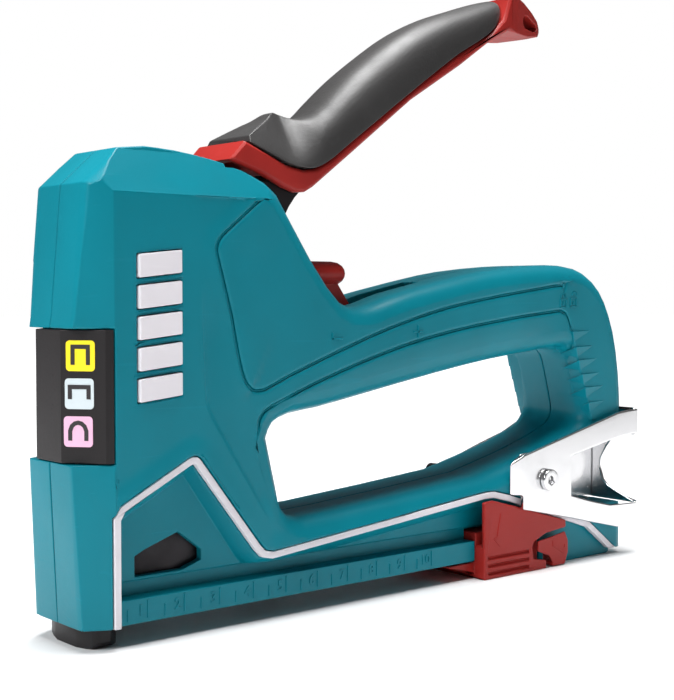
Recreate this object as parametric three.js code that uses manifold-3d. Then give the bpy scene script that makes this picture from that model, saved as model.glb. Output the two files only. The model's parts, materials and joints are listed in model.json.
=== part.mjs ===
// Lever-operated hand tacker: a hollow two-piece housing round a spring-driven striker, a staple
// drawer that pulls out at the back, and a squeeze lever hinged in the head.
// Units are millimetres. +X runs from the nose to the heel, +Z is up and Y = 0 is the housing seam.
// X = 0 is the face of the staple exit, Z = 0 is the surface the tool stands on.
import * as THREE from 'three';
import { mergeVertices } from 'three/addons/utils/BufferGeometryUtils.js';
import Module from 'manifold-3d';

// ---- driving dimensions -------------------------------------------------------------------
const GAP = 0.3;                  // clearance between neighbouring pieces
const HALF_WIDTH = 14.5;          // housing, seam to outer skin
const SKIN_Y = 11.5;              // inner face of the side walls
const PANEL_Y = 9;                // recessed lower panel
const RULER_Y = 12.5;             // face of the ruler strip
const BORE_Y = 7;                 // half width of the magazine tunnel
const BASE_Z = 5;                 // underside of the base
const TUNNEL_Z = 14.6;            // roof of the magazine tunnel
const DRAWER_ROOF_Z = 13.5;       // roof of the space the drawer leaves through
const DRAWER_START_X = 117.2;
const TRIM = 1.7;                 // width of the white edge strip
const PIVOT = [38.5, 99];         // lever hinge, X and Z
const LIFT = [14, 88];            // lever tip that raises the plunger
const SPRING_X = 9;               // axis of the power spring
const CHEEK_IN = 16.3;            // staple remover cheeks
const CHEEK_OUT = 17.5;
const REMOVER_BOLT = [141.8, 26.3];
const WEB_X = [182.8, 184];       // staple remover rear web
const MIDDLE_X = (184 - 7.7) / 2; // the finished part is centred on its length

// ---- helpers ------------------------------------------------------------------------------
const wasm = await Module();
wasm.setup();

function solid(geometry) {
  const bare = geometry.clone();
  bare.deleteAttribute('normal');
  bare.deleteAttribute('uv');
  const merged = mergeVertices(bare, 1e-4);
  return new wasm.Manifold(new wasm.Mesh({
    numProp: 3,
    vertProperties: new Float32Array(merged.attributes.position.array),
    triVerts: new Uint32Array(merged.index.array),
  }));
}

function geometryOf(body) {
  const raw = body.getMesh();
  const geometry = new THREE.BufferGeometry();
  geometry.setAttribute('position', new THREE.BufferAttribute(raw.vertProperties, 3));
  geometry.setIndex(new THREE.BufferAttribute(raw.triVerts, 1));
  const flat = geometry.toNonIndexed();
  flat.computeVertexNormals();
  return flat;
}

function shapeOf(points, holes = []) {
  const shape = new THREE.Shape(points.map(([x, y]) => new THREE.Vector2(x, y)));
  for (const hole of holes) {
    shape.holes.push(new THREE.Path(hole.map(([x, y]) => new THREE.Vector2(x, y))));
  }
  return shape;
}

// Profile in X and Z, pushed along Y.
function alongY(points, y0, y1, holes = []) {
  const options = { depth: y1 - y0, bevelEnabled: false };
  const geometry = new THREE.ExtrudeGeometry(shapeOf(points, holes), options);
  geometry.rotateX(Math.PI / 2).translate(0, y1, 0);
  return solid(geometry);
}

// Profile in X and Z, centred on Y = 0, its edges rounded by an ellipse of inset by thick.
function roundedY(points, half, inset, thick, segments, holes = []) {
  const geometry = new THREE.ExtrudeGeometry(shapeOf(points, holes), {
    depth: 2 * (half - thick), bevelEnabled: true, bevelThickness: thick,
    bevelSize: inset, bevelOffset: -inset, bevelSegments: segments,
  });
  geometry.rotateX(Math.PI / 2).translate(0, half - thick, 0);
  return solid(geometry);
}

// Profile in X and Y, pushed along Z.
function alongZ(points, z0, z1) {
  const options = { depth: z1 - z0, bevelEnabled: false };
  const geometry = new THREE.ExtrudeGeometry(shapeOf(points), options);
  geometry.translate(0, 0, z0);
  return solid(geometry);
}

// Profile in Y and Z, pushed along X.
function alongX(points, x0, x1) {
  const options = { depth: x1 - x0, bevelEnabled: false };
  const geometry = new THREE.ExtrudeGeometry(shapeOf(points), options);
  const turn = new THREE.Matrix4().makeBasis(
    new THREE.Vector3(0, 1, 0), new THREE.Vector3(0, 0, 1), new THREE.Vector3(1, 0, 0));
  geometry.applyMatrix4(turn).translate(x0, 0, 0);
  return solid(geometry);
}

function box(x0, x1, y0, y1, z0, z1) {
  const geometry = new THREE.BoxGeometry(x1 - x0, y1 - y0, z1 - z0);
  geometry.translate((x0 + x1) / 2, (y0 + y1) / 2, (z0 + z1) / 2);
  return solid(geometry);
}

function rodY(x, z, r, y0, y1, segments = 24) {
  const geometry = new THREE.CylinderGeometry(r, r, y1 - y0, segments);
  geometry.translate(x, (y0 + y1) / 2, z);
  return solid(geometry);
}

function rodX(y, z, r, x0, x1, segments = 20) {
  const geometry = new THREE.CylinderGeometry(r, r, x1 - x0, segments);
  geometry.rotateZ(Math.PI / 2).translate((x0 + x1) / 2, y, z);
  return solid(geometry);
}

function rodZ(x, y, r, z0, z1, segments = 24) {
  const geometry = new THREE.CylinderGeometry(r, r, z1 - z0, segments);
  geometry.rotateX(Math.PI / 2).translate(x, y, (z0 + z1) / 2);
  return solid(geometry);
}

function coil(radius, wire, start, end, turns, steps, sides, place) {
  class Helix extends THREE.Curve {
    getPoint(t, target = new THREE.Vector3()) {
      const a = 2 * Math.PI * turns * t;
      return target.set(...place(radius * Math.cos(a), radius * Math.sin(a), start + (end - start) * t));
    }
  }
  const rim = [];
  for (let i = 0; i < sides; i += 1) {
    const a = (2 * Math.PI * i) / sides;
    rim.push([wire * Math.cos(a), wire * Math.sin(a)]);
  }
  return solid(new THREE.ExtrudeGeometry(shapeOf(rim), { steps, extrudePath: new Helix() }));
}

function curve(points, count) {
  const line = new THREE.SplineCurve(points.map(([x, y]) => new THREE.Vector2(x, y)));
  return line.getPoints(count).map((p) => [p.x, p.y]);
}

// Moves every corner of a closed outline inwards by d.
function inset(points, d) {
  const n = points.length;
  const area = points.reduce((sum, p, i) => {
    const q = points[(i + 1) % n];
    return sum + p[0] * q[1] - q[0] * p[1];
  }, 0);
  const side = Math.sign(area) * d;
  return points.map((p, i) => {
    const a = points[(i + n - 1) % n];
    const b = points[(i + 1) % n];
    const u = new THREE.Vector2(p[0] - a[0], p[1] - a[1]).normalize();
    const v = new THREE.Vector2(b[0] - p[0], b[1] - p[1]).normalize();
    const k = side / (1 + u.dot(v));
    return [p[0] - (u.y + v.y) * k, p[1] + (u.x + v.x) * k];
  });
}

// Closed solid between one outline at y0 and another with as many corners at y1.
function taperY(first, y0, second, y1) {
  const flat = first.map(([x, z]) => new THREE.Vector2(x, z));
  const backwards = THREE.ShapeUtils.isClockWise(flat);
  const low = backwards ? first.slice().reverse() : first;
  const high = backwards ? second.slice().reverse() : second;
  const faces = THREE.ShapeUtils.triangulateShape(low.map(([x, z]) => new THREE.Vector2(x, z)), []);
  const n = low.length;
  const position = [];
  const add = (...corners) => corners.forEach((c) => position.push(...c));
  const at = (ring, y, i) => [ring[i % n][0], y, ring[i % n][1]];
  for (const [a, b, c] of faces) {
    add(at(low, y0, a), at(low, y0, b), at(low, y0, c));
    add(at(high, y1, a), at(high, y1, c), at(high, y1, b));
  }
  for (let i = 0; i < n; i += 1) {
    add(at(low, y0, i), at(high, y1, i), at(low, y0, i + 1));
    add(at(low, y0, i + 1), at(high, y1, i), at(high, y1, i + 1));
  }
  const geometry = new THREE.BufferGeometry();
  geometry.setAttribute('position', new THREE.Float32BufferAttribute(position, 3));
  return solid(geometry);
}

const flip = (body) => body.mirror([0, 1, 0]);
const join = (...bodies) => bodies.reduce((sum, body) => sum.add(body));

const group = new THREE.Group();
group.name = 'hand_tacker';

function piece(name, body, color, roughness, metalness = 0) {
  const material = new THREE.MeshStandardMaterial({ color, roughness, metalness });
  const mesh = new THREE.Mesh(geometryOf(body), material);
  mesh.name = name;
  group.add(mesh);
}

const TEAL = 0x1f8795;
const RED = 0xa8322f;
const BLACK = 0x202124;
const WHITE = 0xe8e6ea;
const STEEL = 0x9a9da1;
const DARK_STEEL = 0x5a5d61;
const CHROME = 0xd9dbde;

// ---- housing ------------------------------------------------------------------------------
const sideOutline = [
  [-5.4, -6], [-5.9, 5], [-7.5, 38.9], [-7.7, 44], [-7.7, 70], [-6.9, 74.5], [-4.3, 104.3], [4.7, 112.6],
  ...curve([[12, 113.4], [20, 113], [30, 111.6], [38, 109.6], [45, 106.8]], 8),
  ...curve([[48, 104.6], [52, 98.8], [59.5, 88], [67.5, 78.7], [73, 76.4], [79, 77.2], [86, 79.3],
    [94, 81.1], [112, 84.6], [124, 86.4], [140, 87.8], [152, 88.3], [160, 87.6], [166, 85.4],
    [171.5, 81], [175.5, 75], [178.8, 67], [180.9, 57], [181.9, 46], [182, 36]], 30),
  [182, -6],
];
const handleHole = [
  ...curve([[48.2, 31.5], [49.3, 27.6], [52, 24.9], [56, 24]], 5), [68.3, 24.6], [95, 26.6],
  ...curve([[119.7, 28.7], [137, 32.6], [150, 36.2], [158, 39], [162, 41.3], [163.4, 44.6],
    [161.5, 52], [159.2, 59.5], [157, 62.6], [153, 64], [141, 62.8], [125.6, 61.2], [105, 58.2],
    [77, 53.5], [62, 51], [52, 49.9], [46.8, 47.8], [45, 44.6]], 34),
];
const planOutline = [
  [-5.9 - 2, -9.6], [-7.7, -9.8], [0.8, -HALF_WIDTH], [200, -HALF_WIDTH],
  [200, HALF_WIDTH], [0.8, HALF_WIDTH], [-7.7, 9.8], [-5.9 - 2, 9.6],
];
const frontOutline = [
  [-HALF_WIDTH, -10], [HALF_WIDTH, -10], [HALF_WIDTH, 102.6], [9.6, 112.4], [9.2, 120],
  [-9.2, 120], [-9.6, 112.4], [-HALF_WIDTH, 102.6],
];
// Edge of the recessed lower side, followed by the white strip.
const recess = [
  [0.3, -6], [0.3, 29.9], [2, 32.6], ...curve([[20.2, 42], [22.2, 42.5], [23.8, 41.6]], 3),
  [41.2, 19.3], [42.6, 17.9], [44.8, 17.4], [119.1, 24.5], [123.1, 24.5], [129.8, 22.8],
  [164.9, 11.3], [177.6, 1.8], [178.4, -6],
];
const trimOuter = inset(recess, GAP);
const trimInner = inset(recess, TRIM + GAP);
const panelEdge = inset(recess, 5.2);

const labelPlan = [
  [0.8, -14.4], [-1.2, -14.1], [-7.7, -5.8], [-7.7, 5.8], [-1.2, 14.1], [0.8, 14.4],
  [0.8, 13.2], [-0.6, 12.9], [-6.4, 5.2], [-6.4, -5.2], [-0.6, -12.9], [0.8, -13.2],
];
const labelSeat = [
  [-20, -20], [1.1, -20], [1.1, -12.9], [-0.4, -12.6], [-6.1, -5.1],
  [-6.1, 5.1], [-0.4, 12.6], [1.1, 12.9], [1.1, 20], [-20, 20],
];

const mouth = [
  [152.6, 20.7], [152.6, 32.3], [160, 33.6], [168.7, 35.2], [177, 36.5], [190, 37.2],
  [190, 15.2], [172, 15.8], [161.8, 18.1],
];
const leverSlot = [[33.5, 106], [40, 92], [80, 92], [80, 125], [33.5, 125]];
const badgeBars = [0, 1, 2, 3, 4].map((i) => {
  const z = 55.4 + 7 * i;
  return [[7, z], [18.4, z + 1.2], [18.4, z + 6.4], [7, z + 5.2]];
});
const bosses = [[30, 78], [29, 46], [128, 74], [171, 62]];
const lowScrew = [125.5, 27.1];

function housing() {
  let body = roundedY(sideOutline, HALF_WIDTH, 4.6, 5.6, 4, [handleHole])
    .intersect(alongZ(planOutline, -20, 130))
    .intersect(alongX(frontOutline, -20, 220))
    .subtract(box(-20, DRAWER_START_X, -30, 30, -20, BASE_Z))
    .subtract(box(DRAWER_START_X - 1, 220, -30, 30, -20, 1.8))
    .subtract(alongZ(labelSeat, 41.9, 72.1))
    .subtract(alongY(mouth, -30, 30));
  for (const face of [(b) => b, flip]) {
    body = body.subtract(face(alongY(recess, -30, -HALF_WIDTH + 1.9)));
    body = body.subtract(face(taperY(trimInner, -13, panelEdge, -PANEL_Y)));
    body = body.subtract(face(alongY([[2.2, -4], [2.2, 14.1], [149.8, 14.1], [163.8, 9.5], [176.2, 0.1],
      [176.2, -4]], -20, -PANEL_Y)));
    body = body.subtract(face(box(2.2, 149.8, -13, -8.2, 10.7, 14.1)));
    body = body.add(face(box(1.9, DRAWER_START_X, -RULER_Y, -PANEL_Y + 0.5, BASE_Z, 10.7)));
    body = body.subtract(face(alongY(
      [[9, 14.9], [9, 19.6], [11.8, 20.9], [21, 24], [27.3, 19.2], [27.3, 16.6], [22, 14.9]], -20, -6)));
  }
  // hollow interior
  body = body
    .subtract(alongY([[-3.5, 14], [-4.8, 40], [-4.8, 72], [-1.6, 102], [4, 107.4], [9, 107.4], [9, 14]], -7.3, 7.3))
    .subtract(alongY([[2.2, 40], [2.2, 101.5], [6.6, 109.6], [20, 110], [32, 108.6], [42, 105],
      [46, 101.5], [56.5, 86], [63.5, 77.5], [60, 55], [42, 50], [40.8, 40]], -SKIN_Y + 1.6, SKIN_Y - 1.6))
    .subtract(alongY([[2.2, 44], [2.2, 99.5], [44, 99.5], [56.5, 86], [63.5, 77.5], [60, 55],
      [42, 50], [40.8, 44]], -SKIN_Y, SKIN_Y))
    .subtract(alongY([[58, 55], [77, 57], [105, 61.6], [125.6, 64.4], [141, 66], [158, 66.6],
      [162.5, 61], [166.8, 47], [178.6, 47], [177.6, 57], [175.5, 66], [172, 74], [167, 80],
      [160, 84], [150, 84.8], [124, 83], [94, 77.6], [80, 73.9], [70, 73.2], [62, 78]], -10.5, 10.5))
    .subtract(alongY([[-3.5, 12], [-3.5, 41], [34.8, 41], [34.8, 12]], -BORE_Y, BORE_Y))
    .subtract(box(0.3, DRAWER_START_X + 2, -BORE_Y, BORE_Y, -1, TUNNEL_Z))
    .subtract(box(-3.5, 1, -BORE_Y, BORE_Y, -1, TUNNEL_Z))
    .subtract(box(DRAWER_START_X, 220, -12.9, 12.9, -9, DRAWER_ROOF_Z));
  // openings for the lever, the force knob and the fixings
  body = body
    .subtract(alongY(leverSlot, -10.9, 10.9))
    .subtract(alongY([[48, 80.5], [48, 90.5], [62, 90.5], [66, 80.5]], -5.6, 5.6))
    .subtract(alongY([[60, 70], [60, 92], [104, 92], [104, 77], [80, 70]], -3, 3))
    .subtract(rodY(...PIVOT, 2.9, -13.3, 13.3))
    .subtract(rodY(...REMOVER_BOLT, 2.4, -20, 20))
    .subtract(alongY([[145.4, 17.6], [145.4, 34.6], [153, 34.6], [153, 17.6]], -0.95, 0.95))
    .subtract(box(157.2, 163.2, -3.2, 3.2, 80, 92));
  for (const [x, z] of bosses) {
    body = body.add(rodY(x, z, 3.5, -12, 12, 16)).subtract(rodY(x, z, 1.8, -9, 20, 16));
    body = body.subtract(rodY(x, z, 3.1, 11, 20, 16));
  }
  body = body.subtract(rodY(...lowScrew, 1.8, -9, 20, 16));
  body = body.subtract(rodY(...lowScrew, 2.7, 11, 20, 16));
  for (const bar of badgeBars) {
    body = body.subtract(alongY(inset(bar, -GAP), -20, -8)).subtract(alongY(inset(bar, -GAP), 8, 20));
  }
  return body;
}

const shell = housing();
const leftCut = box(-60, 260, -40, -GAP / 2, -60, 200);
const rightCut = box(-60, 260, GAP / 2, 40, -60, 200);
piece('housing_left', shell.intersect(leftCut), TEAL, 0.42);
piece('housing_right', shell.intersect(rightCut), TEAL, 0.42);

const trimLimits = box(-20, 176.9, -30, 30, 1.9, 60).subtract(box(-20, 100, -30, 30, -9, BASE_Z));
const trim = alongY(trimOuter, -HALF_WIDTH, -HALF_WIDTH + 1.6)
  .subtract(alongY(trimInner, -30, 0)).intersect(trimLimits);
piece('edge_trim_left', trim, WHITE, 0.4);
piece('edge_trim_right', flip(trim), WHITE, 0.4);

let badge = box(9, 16, -11.2, -10.4, 55.8, 89);
for (const bar of badgeBars) {
  badge = badge.add(alongY(bar, -HALF_WIDTH - 0.8, -10.6));
}
piece('badge_left', badge, WHITE, 0.35);
piece('badge_right', flip(badge), WHITE, 0.35);

piece('nose_label_band', alongZ(labelPlan, 42.2, 71.8), BLACK, 0.35);

const screwHoles = [];
for (const [x, z] of bosses) {
  screwHoles.push([x, z, 2.8, 1.5]);
}
screwHoles.push([...lowScrew, 2.4, 1.5]);
screwHoles.forEach(([x, z, head, shank], i) => {
  const drive = box(x - 0.4, x + 0.4, 13.1, 20, z - 1.7, z + 1.7)
    .add(box(x - 1.7, x + 1.7, 13.1, 20, z - 0.4, z + 0.4));
  const screw = rodY(x, z, head, 11.4, 13.9, 16).add(rodY(x, z, shank, -8.5, 12, 12)).subtract(drive);
  piece(`housing_screw_${i + 1}`, screw, DARK_STEEL, 0.35, 0.9);
});

// ---- nose and striker ---------------------------------------------------------------------
const footSection = [
  [-10.6, BASE_Z - GAP], [-10.6, 1.6], [-9.2, 0.3], [-7.4, 0], [7.4, 0], [9.2, 0.3], [10.6, 1.6],
  [10.6, BASE_Z - GAP],
];
const footPlan = [
  [-4, -4.4], [-2.4, -9.4], [-1.4, -10.4], [1.8, -10.4], [5, -7.4],
  [5, 7.4], [1.8, 10.4], [-1.4, 10.4], [-2.4, 9.4], [-4, 4.4],
];
piece('nose_foot', alongX(footSection, -4, 5).intersect(alongZ(footPlan, -1, 9))
  .subtract(box(-1.3, 1.4, -6, 6, -5, 9)), BLACK, 0.5);
piece('striker_guide', alongZ(
  [[-3.2, -6.6], [-3.2, 6.6], [0, 6.6], [0, 5.7], [-1.3, 5.7], [-1.3, -5.7], [0, -5.7], [0, -6.6]],
  BASE_Z + 0.2, 40), STEEL, 0.35, 0.9);
piece('striker_blade', box(-0.9, 0, -5.3, 5.3, 1, 57), STEEL, 0.3, 0.9);

const strips = [-1, 1].map((s) => {
  const inner = s * 6.4;
  const outer = s * 7.5;
  const strip = box(10.6, 16.4, Math.min(inner, outer), Math.max(inner, outer), 46, 94);
  const ear = box(9.6, 17, Math.min(inner, s * 9.7), Math.max(inner, s * 9.7), 91, 94);
  return strip.add(ear);
});
const seat = box(0.3, 16.4, -7, 7, 46, 58).subtract(box(0.2, 1, -8, 8, 57.4, 59));
piece('plunger', join(seat, ...strips), DARK_STEEL, 0.45, 0.8);

const upright = (u, v, w) => [SPRING_X + u, v, w];
piece('power_spring', coil(5, 0.95, 59.3, 103.7, 8, 96, 6, upright), STEEL, 0.3, 0.95);
piece('spring_guide', rodZ(SPRING_X, 0, 2.8, 74, 105.3)
  .add(rodZ(SPRING_X, 0, 6, 105, 106.1)), DARK_STEEL, 0.4, 0.8);

const frameSides = [[-2.4, 14.9], [-2.4, 40.4], [34.4, 40.4], [34.4, 14.9]];
piece('inner_frame', alongY(frameSides, -6.7, 6.7)
  .subtract(box(-9, 33.4, -5.8, 5.8, 10, 50)).subtract(box(-9, 0.6, -9, 9, 10, 50)), STEEL, 0.4, 0.9);

// ---- lever --------------------------------------------------------------------------------
const disc = (x, z, r, y0, y1) => rodY(x, z, r, y0, y1, 20);
function armPlate(y0, y1) {
  return alongY([
    ...curve([[44, 92.6], [50, 96], [54, 99.2], [56, 102.6], [59.6, 106.2]], 6), [78, 119.8], [108, 142.2],
    [106, 145.4], [76, 124.6], [60, 113.4], [50, 108.2], [40, 106], [32.4, 103], [31, 96],
    [34, 92.4], [39, 91.6]], y0, y1);
}
function prong(y0, y1) {
  return join(
    alongY([[38, 93.2], [14.8, 85.9], [13.4, 90.1], [20, 90.7], [34, 103.6]], y0, y1),
    disc(...LIFT, 2.2, y0, y1), disc(...PIVOT, 6.4, y0, y1));
}
let arm = join(armPlate(-7.4, -5.8), prong(-9.6, -8), disc(...PIVOT, 6.4, -8.2, -5.8));
arm = join(arm, flip(arm), alongY([[66, 112.6], [96, 134.4], [95, 136.2], [65, 114.6]], -6.4, 6.4));
piece('lever_arm', arm.subtract(rodY(...PIVOT, 2.8, -20, 20)), DARK_STEEL, 0.4, 0.85);
piece('lever_pin', rodY(...PIVOT, 2.5, -13, 13), STEEL, 0.25, 0.95);

const seamLine = [
  [40, 116.7], [52.8, 111.6], [58, 110.7], [62, 111.2], [66.5, 113.6], [72, 117.7], [95, 134], [112, 145.2],
  [125.8, 152.8], [131, 157.6], [133.4, 164.3],
];
const underLine = [
  [138, 154.4], [133, 154.6], [126, 151.1], [113.5, 142.7], [95, 131.5], [73.9, 115.9], [65.7, 109.9],
  [61.2, 106.6], [58.6, 105.2], [55.6, 105], [52.3, 106], [45, 109], [35.5, 111.9],
];
const tipLine = [
  [137.5, 164.8], [142, 164.2], [148, 162.4], [154.5, 159.8], [156.1, 158.4], [153.4, 156.4], [145, 154.8],
];
const armRoom = [
  [36, 108], [58.5, 103], [60.4, 106.4], [78.3, 119.4], [109, 142.4], [106, 146], [75.5, 125.2],
  [59.6, 114], [50, 109.2], [41, 110], [38, 113],
];
// hanging slot through the tip
const eyelet = [
  [141.6, 158.2], [143, 157], [149.6, 157], [151.2, 157.6], [151.4, 158.6], [150.4, 159.4],
  [144.4, 160.8], [142.6, 160.4], [141.6, 159.4],
];
const tipPlan = [
  [30, -10.2], [134, -10.2], [138, -9], [142, -7.4], [147, -5.6], [152, -3.6], [155, -1.6], [156.3, 0],
  [155, 1.6], [152, 3.6], [147, 5.6], [142, 7.4], [138, 9], [134, 10.2], [30, 10.2],
];
const leverBase = roundedY([...seamLine, ...tipLine, ...underLine], 10.2, 0.7, 0.7, 1)
  .intersect(alongZ(tipPlan, 60, 200))
  .subtract(alongY(armRoom, -7.8, 7.8))
  .subtract(alongY(eyelet, -12, 12));
piece('lever_shell', leverBase, RED, 0.4);

// Stations along the soft grip: underside X, Z, top X, Z and half width.
const gripStations = [
  [41.9, 116.5, 42.3, 118.2, 9], [45, 115.2, 46.4, 121.9, 9.6], [49, 113.6, 51, 125, 10.2],
  [53, 112, 55, 126, 10.8], [57.5, 111.2, 60, 124.8, 11.2], [61.5, 111.5, 63.6, 125.2, 11.4],
  [66, 113.8, 67.2, 127.6, 11.6], [71, 117.4, 70.8, 131, 11.6], [79, 123.1, 77.4, 136.8, 11.6],
  [91, 131.6, 86.4, 143.5, 11.6], [102, 139.2, 97, 150.5, 11.6], [112, 145.7, 108, 155.9, 11.4],
  [121, 150.6, 119, 159.9, 11], [127.4, 154.6, 127.2, 162.7, 10.2], [130.6, 158, 132, 164, 9],
];
function gripLoft(stations, arc) {
  const rings = stations.map(([bx, bz, tx, tz, half]) => {
    const ring = [];
    for (let k = 0; k <= arc; k += 1) {
      const a = (Math.PI * k) / arc;
      const y = half * Math.sign(Math.cos(a)) * Math.abs(Math.cos(a)) ** 0.7;
      const v = Math.sin(a) ** 0.75;
      ring.push([bx + (tx - bx) * v, k === 0 ? half : k === arc ? -half : y, bz + (tz - bz) * v]);
    }
    return ring;
  });
  const position = [];
  const add = (...corners) => corners.forEach((c) => position.push(...c));
  const n = arc + 1;
  for (let i = 0; i + 1 < rings.length; i += 1) {
    for (let k = 0; k < n; k += 1) {
      const m = (k + 1) % n;
      add(rings[i][k], rings[i][m], rings[i + 1][k]);
      add(rings[i][m], rings[i + 1][m], rings[i + 1][k]);
    }
  }
  const last = rings.length - 1;
  for (let k = 1; k < arc; k += 1) {
    add(rings[0][0], rings[0][k + 1], rings[0][k]);
    add(rings[last][0], rings[last][k], rings[last][k + 1]);
  }
  const geometry = new THREE.BufferGeometry();
  geometry.setAttribute('position', new THREE.Float32BufferAttribute(position, 3));
  return solid(geometry);
}
piece('lever_grip', gripLoft(gripStations, 12).subtract(alongY(armRoom, -7.8, 7.8)), BLACK, 0.6);

// ---- force adjustment ---------------------------------------------------------------------
const slope = THREE.MathUtils.degToRad(12);
const capsule = new THREE.CapsuleGeometry(3.2, 12, 6, 16);
capsule.rotateZ(Math.PI / 2).scale(1, 1.45, 1).translate(69, 0, 85.1);
const stem = alongY([[69.6, 83], [75, 83], [79.2, 77.4], [78, 74], [72.6, 74]], -2.6, 2.6);
piece('force_knob', solid(capsule).add(stem), RED, 0.42);
const bar = new THREE.BoxGeometry(26, 7, 2.4);
bar.rotateY(-slope).translate(76, 0, 71.6);
piece('force_link', solid(bar).subtract(box(71.8, 79.6, -2.9, 2.9, 73.6, 80)), STEEL, 0.4, 0.9);

const catchBody = box(157.6, 162.8, -2.8, 2.8, 81, 86.6)
  .add(box(156.6, 163.6, -2.8, 2.8, 74, 77.2)).add(box(158.6, 161.8, -2.8, 2.8, 77, 82));
piece('lock_catch', catchBody, TEAL, 0.42);

// ---- magazine -----------------------------------------------------------------------------
piece('magazine_channel', box(2.8, 112.4, -6.7, 6.7, BASE_Z + 0.2, 14.3)
  .subtract(box(0, 120, -5.9, 5.9, 0, 13.6)), STEEL, 0.35, 0.9);
piece('drawer_rail', box(3, 124, -4.6, 4.6, 6, 12.2)
  .subtract(box(0, 121, -3.4, 3.4, 0, 11.4)), STEEL, 0.35, 0.9);
piece('staple_stick', box(1.7, 45.5, -5.6, 5.6, 5.5, 13.2)
  .subtract(box(0, 50, -4.9, 4.9, 0, 12.5)), 0xb9bcc0, 0.3, 0.95);
const railRoom = box(40, 60, -4.9, 4.9, 5.9, 12.5).subtract(box(30, 70, -3.1, 3.1, 0, 11.1));
piece('staple_follower', box(46, 54, -5.6, 5.6, 5.2, 13.3).subtract(railRoom)
  .subtract(rodX(0, 8.4, 1.2, 30, 70, 12)), DARK_STEEL, 0.4, 0.85);
piece('follower_rod', rodX(0, 8.4, 0.9, 44, 119.4, 12), STEEL, 0.3, 0.95);
const lying = (u, v, w) => [w, u, 8.4 + v];
piece('follower_spring', coil(1.9, 0.35, 54.8, 116.6, 16, 128, 5, lying), STEEL, 0.3, 0.95);

const cheek = [
  [117.5, 0], [117.5, 21.5], [118.2, 21.9], [121, 22], [128.5, 20], [152, 13.3], [152, 11.2],
  [143.3, 10.4], [138.5, 8.6], [137.3, 7], [138, 3.4], [143.5, 2.4], [143.5, 0],
];
let saddle = join(
  box(117.5, 143.5, -RULER_Y, RULER_Y, 0, 13),
  box(117.5, 143.5, -16, 16, 0, 1.3),
  alongY([[106.6, 4.6], [107.4, 4.1], [112.6, 2.6], [118, 1.1], [118, 4.6]], -12, 12),
  box(117.5, 121, -15, 15, 1, 9.4),
);
for (const face of [(b) => b, flip]) {
  let side = alongY(cheek, -16, -14.8);
  for (const z of [1.6, 3.8, 6]) {
    side = side.subtract(box(119, 136, -16.4, -15.6, z - 0.35, z + 0.35));
  }
  saddle = saddle.add(face(side));
}
saddle = saddle.subtract(box(116, 124.4, -4.9, 4.9, 5.7, 12.5)).subtract(box(103, 122, -6, 6, 5.2, 12.5));
piece('magazine_slider', saddle, RED, 0.42);

const tail = alongY([[144, 0], [144, 13], [160.5, 13], [176.4, 3.2], [176.4, 0.5], [175.4, 0]], -RULER_Y, RULER_Y)
  .subtract(box(146, 152, -12.9, -10.2, -0.1, 6.8))
  .subtract(box(146, 152, 10.2, 12.9, -0.1, 6.8));
piece('drawer_tail', tail, TEAL, 0.45);

const tongue = join(
  alongY([[139.9, 5.4], [139.9, 8.3], [146, 9], [151.6, 9.9], [153, 7.2], [153, 3.6], [151.6, 0.3],
    [146.4, 0.3], [146.4, 1.5], [144.8, 3.6]], -16, -15.4),
  box(146.4, 151.6, -15.6, -11, 0.3, 1.5),
  box(146.4, 151.6, -12.2, -11, 0.3, 6),
);
piece('latch_left', tongue, RED, 0.42);
piece('latch_right', flip(tongue), RED, 0.42);

// ---- staple remover -----------------------------------------------------------------------
const cheekOutline = [
  [131.8, 18.5], [131.8, 34], [174, 43.7], [180, 44.3], [WEB_X[1], 44.4], [WEB_X[1], 37], [177, 36.5],
  [168.7, 35.2], [160, 33.6], [152.6, 32.3], [152.6, 20.7], [161.8, 18.1], [172, 15.8],
  [WEB_X[1], 15.4], [WEB_X[1], 7.3], [174.6, 8.8], [160.7, 12], [152, 14.1],
];
let strap = alongY(cheekOutline, -CHEEK_OUT, CHEEK_OUT)
  .subtract(box(120, WEB_X[0], -CHEEK_IN, CHEEK_IN, 0, 60))
  .subtract(box(180, 190, -CHEEK_IN, CHEEK_IN, 0, 15.6));
strap = strap.add(box(...WEB_X, -4.4, 4.4, 18.6, 40).add(box(...WEB_X, -CHEEK_OUT, CHEEK_OUT, 15.6, 44.4)));
const lobe = [
  [-24, 36.9], [-15, 36.4], [-12.2, 35.5], [-8.3, 34.3], [-6, 31.5], [-4.2, 28.2], [-3.8, 25.1],
  [-4.7, 21.7], [-6.9, 19.6], [-11.2, 17.9], [-16.3, 15.9], [-24, 15.5],
];
strap = strap.subtract(alongX(lobe, 180, 190)).subtract(flip(alongX(lobe, 180, 190)));
// A slanted lip turns each cheek in towards the housing.
const lip = alongZ([[131.8, -CHEEK_OUT], [128.9, -14.9], [130.6, -14.9], [132.4, -16.4], [133.5, -16.4],
  [133.5, -CHEEK_OUT]], 22.6, 34).subtract(alongY([[128, 30.8], [131.8, 34], [128, 36]], -20, -10));
strap = strap.add(lip).add(flip(lip));
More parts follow.
